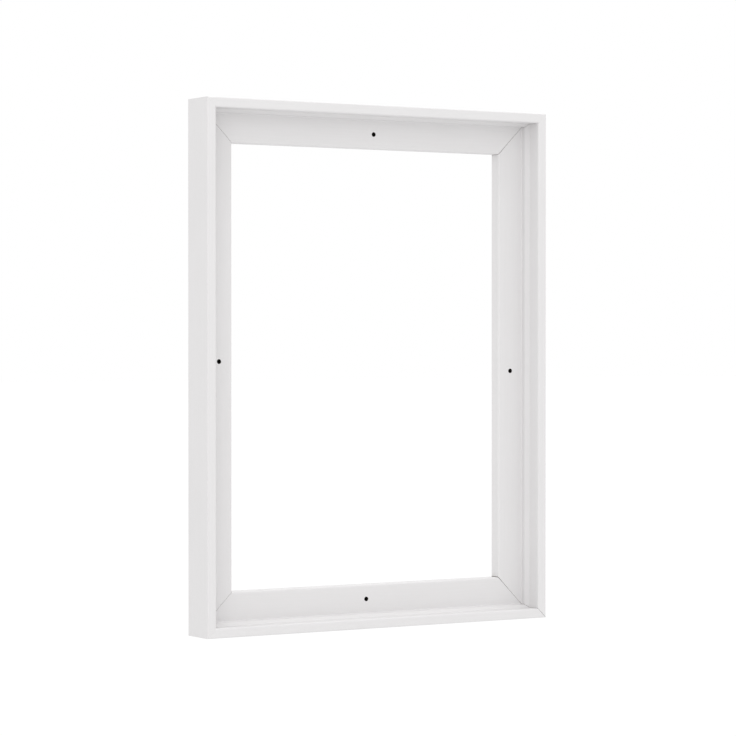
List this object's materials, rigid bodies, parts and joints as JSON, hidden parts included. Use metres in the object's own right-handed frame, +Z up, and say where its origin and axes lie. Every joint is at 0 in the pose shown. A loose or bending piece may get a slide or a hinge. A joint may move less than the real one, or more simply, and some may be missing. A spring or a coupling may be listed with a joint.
{
  "type": "floater picture frame",
  "caption": "Open rectangular floater frame of mitred L-section rails, with V-nailed corners and swinging D-ring strap hangers on the back.",
  "frame": {"origin": "middle of the bottom rail's flat underside, midway between the frame's front and back faces", "axes": "+X to the right seen from the front, +Y from the front to the back (wall) side, +Z up as the frame hangs"},
  "size_m": [0.326, 0.0371, 0.426],
  "materials": {
    "white_lacquer": "satin white lacquer on wood",
    "nail_steel": "bright rolled strip",
    "zinc_plate": "zinc plated",
    "bumper_rubber": "matt"
  },
  "bodies": {
    "frame": {"bottom_rail": "white_lacquer", "left_rail": "white_lacquer", "top_rail": "white_lacquer", "right_rail": "white_lacquer", "v_nail_bottom_left_outer": "nail_steel", "v_nail_bottom_left_inner": "nail_steel", "v_nail_top_left_outer": "nail_steel", "v_nail_top_left_inner": "nail_steel", "v_nail_top_right_outer": "nail_steel", "v_nail_top_right_inner": "nail_steel", "v_nail_bottom_right_outer": "nail_steel", "v_nail_bottom_right_inner": "nail_steel", "left_hanger_strap": "zinc_plate", "right_hanger_strap": "zinc_plate", "left_hanger_screw_upper": "zinc_plate", "left_hanger_screw_lower": "zinc_plate", "right_hanger_screw_upper": "zinc_plate", "right_hanger_screw_lower": "zinc_plate", "left_bumper": "bumper_rubber", "right_bumper": "bumper_rubber"},
    "left_ring": {"left_hanger_ring": "zinc_plate"},
    "right_ring": {"right_hanger_ring": "zinc_plate"}
  },
  "joints": [
    {"name": "left_ring_swing", "type": "hinge", "parent": "frame", "child": "left_ring", "pos_m": [-0.146, 0.0187, 0.29], "axis": [1, 0, 0], "range_deg": [0, 180]},
    {"name": "right_ring_swing", "type": "hinge", "parent": "frame", "child": "right_ring", "pos_m": [0.146, 0.0187, 0.29], "axis": [1, 0, 0], "range_deg": [0, 180]}
  ]
}
